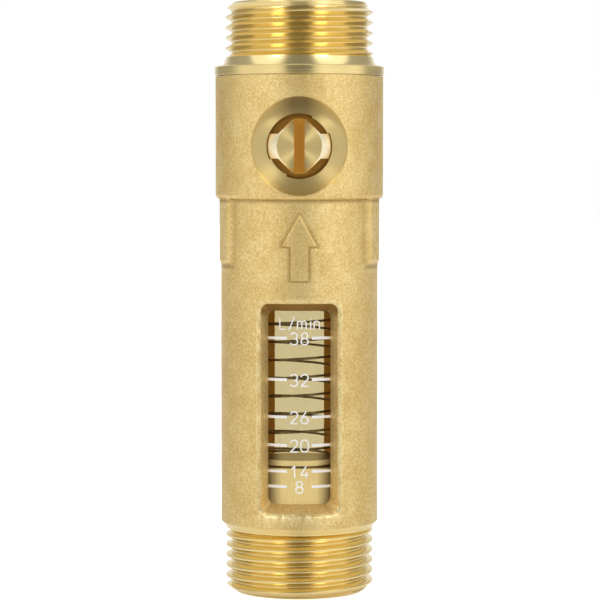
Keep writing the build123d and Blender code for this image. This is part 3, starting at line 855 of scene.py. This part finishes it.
# strokes of each character in a cell 0.6 wide and 1 high, drawn as an engraving template would
glyphs = {
    "0": [arcPoints(0.3, 0.72, 0.3, 0.28, 0, 180) + arcPoints(0.3, 0.28, 0.3, 0.28, 180, 360) + [(0.6, 0.72)]],
    "1": [[(0.08, 0.72), (0.34, 1.0), (0.34, 0.0)]],
    "2": [arcPoints(0.3, 0.72, 0.29, 0.28, 170, -35) + [(0.0, 0.0), (0.6, 0.0)]],
    "3": [arcPoints(0.28, 0.745, 0.28, 0.255, 160, -80) + arcPoints(0.28, 0.255, 0.31, 0.255, 85, -160)],
    "4": [[(0.42, 1.0), (0.0, 0.26), (0.62, 0.26)], [(0.46, 0.5), (0.46, 0.0)]],
    "6": [[(0.42, 1.0)] + arcPoints(0.31, 0.3, 0.3, 0.3, 150, 180, 3) + arcPoints(0.3, 0.28, 0.3, 0.28, 180, 540)],
    "8": [arcPoints(0.3, 0.76, 0.25, 0.24, -90, 270), arcPoints(0.3, 0.26, 0.3, 0.26, 90, 450)],
    "L": [[(0.0, 1.0), (0.0, 0.0), (0.5, 0.0)]],
    "/": [[(0.0, -0.05), (0.45, 1.05)]],
    "m": [[(0.0, 0.0), (0.0, 0.68)], arcPoints(0.18, 0.5, 0.18, 0.18, 180, 0) + [(0.36, 0.0)],
          arcPoints(0.54, 0.5, 0.18, 0.18, 180, 0) + [(0.72, 0.0)]],
    "i": [[(0.0, 0.0), (0.0, 0.68)], [(0.0, 0.88), (0.0, 0.99)]],
    "n": [[(0.0, 0.0), (0.0, 0.68)], arcPoints(0.23, 0.46, 0.23, 0.22, 180, 0) + [(0.46, 0.0)]],
}


def printTree():
    # flat strokes in, ink wrapped on the tube out: local X runs round the tube, local Y up it
    tree, given = startTree("print", "Strokes", "Width", "Thickness", "TubeRadius")
    fine = addNode(tree, "GeometryNodeResampleCurve", {"Curve": given["Strokes"], "Length": 0.12 * mm}, mode="LENGTH")
    upright = addNode(tree, "GeometryNodeSetCurveNormal", {"Curve": fine}, mode="Z_UP")
    nib = addNode(tree, "GeometryNodeCurvePrimitiveQuadrilateral", (given["Width"], given["Thickness"]))
    ink = addNode(tree, "GeometryNodeCurveToMesh", {"Curve": upright, "Profile Curve": nib, "Fill Caps": True})
    x, y, z = addNode(tree, "SeparateXYZ", (tree.nodes.new("GeometryNodeInputPosition"),)).outputs
    reach = addNode(tree, "Math", (given["TubeRadius"], z), operation="ADD")
    turn = addNode(tree, "Math", (x, given["TubeRadius"]), operation="DIVIDE")
    inwards = addNode(tree, "Math", (reach, -1.0), operation="MULTIPLY")
    wrapped = addNode(tree, "CombineXYZ", [
        addNode(tree, "Math", (arm, addNode(tree, "Math", (turn,), operation=wave)), operation="MULTIPLY")
        for arm, wave in ((reach, "SINE"), (inwards, "COSINE"))] + [y])
    held = addNode(tree, "GeometryNodeSetPosition", {"Geometry": ink, "Position": wrapped})
    return endTree(tree, held, given["Material"])


def makeScale():
    height, width = scaleMarks["digitHeight"], scaleMarks["digitWidth"] / 0.6
    figures, ticks = [], []
    for text, level in scaleMarks["values"].items():
        for side in (-1, 1):
            ends = [tubeRadius * math.asin(side * scaleMarks[end] / tubeRadius) for end in ("tickInner", "tickOuter")]
            ticks.append([(end, level) for end in ends])
        start = -scaleMarks["digitStep"] * (len(text) - 1) / 2 - scaleMarks["digitWidth"] / 2
        for i, letter in enumerate(text):
            for stroke in glyphs[letter]:
                figures.append([(start + i * scaleMarks["digitStep"] + x * width, level + (y - 0.55) * height)
                                for x, y in stroke])
    cursor = scaleMarks["unitStart"]
    for letter, advance in scaleMarks["unit"]:
        for stroke in glyphs[letter]:
            figures.append([(cursor + x * height, scaleMarks["unitBase"] + y * height) for x, y in stroke])
        cursor += advance
    tree = printTree()
    lift = scaleMarks["inkHeight"] / 2 + 0.005
    for name, strokes, nib in (("scale_figures", figures, "strokeWidth"), ("scale_ticks", ticks, "lineWidth")):
        mesh = viaNodes(name, curveObject(name, strokes, lift=lift), tree, {
            "TubeRadius": tubeRadius * mm, "Thickness": scaleMarks["inkHeight"] * mm, "Width": scaleMarks[nib] * mm,
            "Material": mats["ink"]})
        sharpAt(mesh, 40)
        piece = makeObject(name, mesh, "housing", [mats["ink"]])


tube = {"bore": 10.2, "grooveRadius": 11.85}


def makeTube():
    # plain tube with a seal groove near each end
    low, high = (corner.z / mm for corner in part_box("sight_tube"))
    groove = [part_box(seal) for seal in ("tube_seal_lower", "tube_seal_upper")]
    outline = [(tube["bore"], low), (tubeRadius, low)]
    for corners in groove:
        outline += [(tubeRadius, corners[0].z / mm), (tube["grooveRadius"], corners[0].z / mm),
                    (tube["grooveRadius"], corners[1].z / mm), (tubeRadius, corners[1].z / mm)]
    outline += [(tubeRadius, high), (tube["bore"], high)]
    mesh = latheMesh("sight_tube_clear", outline, 192)
    sharpAt(mesh, 30)
    piece = makeObject("sight_tube_clear", mesh, "housing", [mats["tube"]])
    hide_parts("sight_tube")


makeTube()
makeScale()
print("tube and scale")


# spring: wound wire, as long as the packed spring

spring = {"wire": 0.275, "coilRadius": 9.8, "pitch": 4.07, "steps": 96, "travel": 36.0, "turn": -1.25}


def springTree():
    tree, given = startTree("spring", "Geometry", "Wire", "CoilRadius", "Low", "High", "Turns", "StartTurn", "Steps")
    rise = addNode(tree, "Math", (given["High"], given["Low"]), operation="SUBTRACT")
    coil = addNode(tree, "GeometryNodeCurveSpiral", {
        "Resolution": given["Steps"], "Rotations": given["Turns"], "Start Radius": given["CoilRadius"],
        "End Radius": given["CoilRadius"], "Height": rise, "Reverse": True})
    spin = addNode(tree, "CombineXYZ", {"Z": given["StartTurn"]})
    spun = addNode(tree, "GeometryNodeTransform", {"Geometry": coil, "Rotation": spin})
    ring = addNode(tree, "GeometryNodeCurvePrimitiveCircle", {"Radius": given["CoilRadius"], "Resolution": 96})
    raised = addNode(tree, "CombineXYZ", {"Z": rise})
    top = addNode(tree, "GeometryNodeTransform", {"Geometry": ring, "Translation": raised})
    wound = addNode(tree, "GeometryNodeJoinGeometry")
    for part in (spun, ring, top):
        tree.links.new(part.outputs[0], wound.inputs[0])
    wire = addNode(tree, "GeometryNodeCurvePrimitiveCircle", {"Radius": given["Wire"], "Resolution": 10})
    drawn = addNode(tree, "GeometryNodeCurveToMesh", {"Curve": wound, "Profile Curve": wire, "Fill Caps": True})
    lift = addNode(tree, "CombineXYZ", {"Z": given["Low"]})
    placed = addNode(tree, "GeometryNodeTransform", {"Geometry": drawn, "Translation": lift})
    return endTree(tree, placed, given["Material"])


def makeSpring():
    low, high = springLow + spring["wire"], springHigh - spring["wire"]
    source = bpy.data.objects.new("springSeed", bpy.data.meshes.new("springSeed"))
    mesh = viaNodes("compression_spring", source, springTree(), {
        "Wire": spring["wire"] * mm, "CoilRadius": spring["coilRadius"] * mm, "Low": low * mm, "High": high * mm,
        "Turns": (high - low) / spring["pitch"], "StartTurn": spring["turn"], "Steps": spring["steps"],
        "Material": mats["steel"]})
    sharpAt(mesh, 60)
    piece = makeObject("compression_spring", mesh, "housing", [mats["steel"]])
    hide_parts("float_spring")
    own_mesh(piece)


makeSpring()


# float, its orifice and the pieces that close the tube

def dressNode(node, name, body, material):
    piece = makeObject(name, smoothCopy(node, name), body, [mats[material]])
    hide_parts(node)


dressNode("float", "float_cup", "float", "acetal")
dressNode("spring_seat", "spring_seat_bush", "housing", "acetal")
dressNode("inlet_bush", "inlet_bush_turned", "housing", "acetal")
dressNode("ball", "ball_plated", "valve", "plated")
dressNode("orifice_insert", "orifice_disc", "float", "steel")
dressNode("inlet_retaining_ring", "inlet_clip", "housing", "steel")
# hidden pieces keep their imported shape
for material, hidden in {
        "rubber": ("connector_seal", "seat_preload_ring", "stem_seal", "tube_seal_lower", "tube_seal_upper"),
        "ptfe": ("seat_lower", "seat_upper", "stem_washer"),
        "steel": ("stem_retaining_ring",)}.items():
    for node in hidden:
        nodes[node].data.materials.clear()
        nodes[node].data.materials.append(mats[material])
print("inner pieces dressed")


# studio: pale floor, a room painted in the world, two soft boxes, camera

studio = {
    "distance": 0.584,
    "eyeHeight": 0.0991,
    "sideways": 0.00014,
    "tiltDown": 3.277,
    "lens": 155.4,
    "floorSize": 6.0,
    "topLight": 1.1,
    "bottomLight": 0.75,
    # two soft boxes above the camera: place in metres, size in metres, power in watts
    "boxes": [((-0.42, -0.52, 0.5), 0.22, 0.8), ((0.42, -0.52, 0.5), 0.22, 0.95)],
    # brightness of the room round the flow axis: degrees from the camera's side, positive to the right
    "room": [(-180, 1.0), (-162, 0.9), (-142, 0.36), (-105, 0.4), (-88, 1.0), (-24, 1.02), (-16, 0.22), (0, 0.21),
             (16, 0.22), (24, 1.04), (90, 1.25), (105, 0.4), (142, 0.36), (162, 0.9), (180, 1.0)],
}


def makeWorld():
    world = bpy.data.worlds.new("studioRoom")
    bpy.context.scene.world = world
    world.use_nodes = True
    tree = world.node_tree
    tree.nodes.clear()
    look = addNode(tree, "TexCoord").outputs["Generated"]
    parts = addNode(tree, "SeparateXYZ", (look,)).outputs
    # the dark strip behind the camera runs straight over the top, so the height counts as depth
    flat = addNode(tree, "VectorMath", (look, (0, 1, 1)), operation="MULTIPLY")
    deep = addNode(tree, "VectorMath", (flat,), operation="LENGTH")
    side = addNode(tree, "Math", (parts["Y"],), operation="SIGN")
    away = addNode(tree, "Math", (side, -1.0), operation="MULTIPLY")
    towards = addNode(tree, "Math", (deep, away), operation="MULTIPLY")
    turn = addNode(tree, "Math", (parts["X"], towards), operation="ARCTAN2")
    share = addNode(tree, "MapRange", (turn, -pi, pi, 0.0, 1.0))
    highest = max(level for _, level in studio["room"])
    ramp = addNode(tree, "ValToRGB", (share,),
                   steps=[((degrees + 180) / 360, level / highest) for degrees, level in studio["room"]])
    over = addNode(tree, "MapRange", (parts["Z"], -0.6, 0.6, studio["bottomLight"] * highest,
                                      studio["topLight"] * highest))
    room = addNode(tree, "Math", (ramp, over), operation="MULTIPLY")
    # the camera itself sees plain white; metal, glass and the lit surfaces see the painted room
    seen = addNode(tree, "LightPath").outputs["Is Camera Ray"]
    strength = addNode(tree, "Mix", (seen, room, 1.0))
    result = tree.nodes.new("ShaderNodeOutputWorld")
    addNode(tree, "Background", {"Color": (1, 1, 1, 1), "Strength": strength}, result.inputs["Surface"])


def makeFloor():
    half = studio["floorSize"] / 2
    bm = bmesh.new()
    bm.faces.new([bm.verts.new((x * half, y * half, 0)) for x, y in ((-1, -1), (1, -1), (1, 1), (-1, 1))])
    tree, shader = newMaterial("floor", "floor_paper_white", "#eeeeee", 0.0, 0.9, Emission_Color=(1, 1, 1, 1))
    paths = addNode(tree, "LightPath").outputs
    seen = addNode(tree, "Math", (paths["Is Camera Ray"], paths["Is Transmission Ray"]), operation="MAXIMUM")
    mirrored = addNode(tree, "Math", (paths["Is Glossy Ray"], 0.35), operation="MULTIPLY")
    both = addNode(tree, "Math", (seen, mirrored), operation="MAXIMUM")
    addNode(tree, "Math", (both, 0.7), shader.inputs["Emission Strength"], operation="MULTIPLY")
    # a dark card lies on the floor below the camera, and only polished faces show it
    aside = addNode(tree, "Math", (objectAxis(tree, "X"),), operation="ABSOLUTE")
    reach = addNode(tree, "Math", (objectAxis(tree, "Y"), 0.31, aside), operation="MULTIPLY_ADD")
    within = addNode(tree, "MapRange", (reach, -0.03, 0.0, 1.0, 0.0))
    card = addNode(tree, "Math", (within, paths["Is Glossy Ray"]), operation="MULTIPLY")
    addNode(tree, "Mix", (card, linear("#eeeeee"), linear("#666666")), shader.inputs["Base Color"], data_type="RGBA")
    # seen from below the paper is clear, so that the lower end can be looked at
    back = addNode(tree, "NewGeometry").outputs["Backfacing"]
    beneath = addNode(tree, "Math", (back, paths["Is Camera Ray"]), operation="MULTIPLY")
    nothing = addNode(tree, "BsdfTransparent")
    addNode(tree, "MixShader", (beneath, shader, nothing), tree.nodes["Material Output"].inputs["Surface"])
    floor = makeObject("floor", meshFrom(bm, "floor"), None, [mats["floor"]])


def makeBoxes():
    for i, (place, size, power) in enumerate(studio["boxes"]):
        data = bpy.data.lights.new("softBox%d" % i, "AREA")
        data.size = size
        data.energy = power
        box = bpy.data.objects.new("softBox%d" % i, data)
        box.location = place
        box.rotation_euler = (Vector((0, 0, 0.08)) - Vector(place)).to_track_quat("-Z", "Y").to_euler()
        bpy.context.scene.collection.objects.link(box)


def makeCamera():
    data = bpy.data.cameras.new("camera")
    data.lens = studio["lens"]
    data.sensor_width = 36
    data.clip_start = 0.01
    data.clip_end = 20
    camera = bpy.data.objects.new("camera", data)
    camera.location = (studio["sideways"], -studio["distance"], studio["eyeHeight"])
    camera.rotation_euler = (radians(90 - studio["tiltDown"]), 0, 0)
    bpy.context.scene.collection.objects.link(camera)
    bpy.context.scene.camera = camera


makeWorld()
makeFloor()
makeBoxes()
makeCamera()
bpy.context.scene.view_settings.view_transform = "Standard"
print("studio")
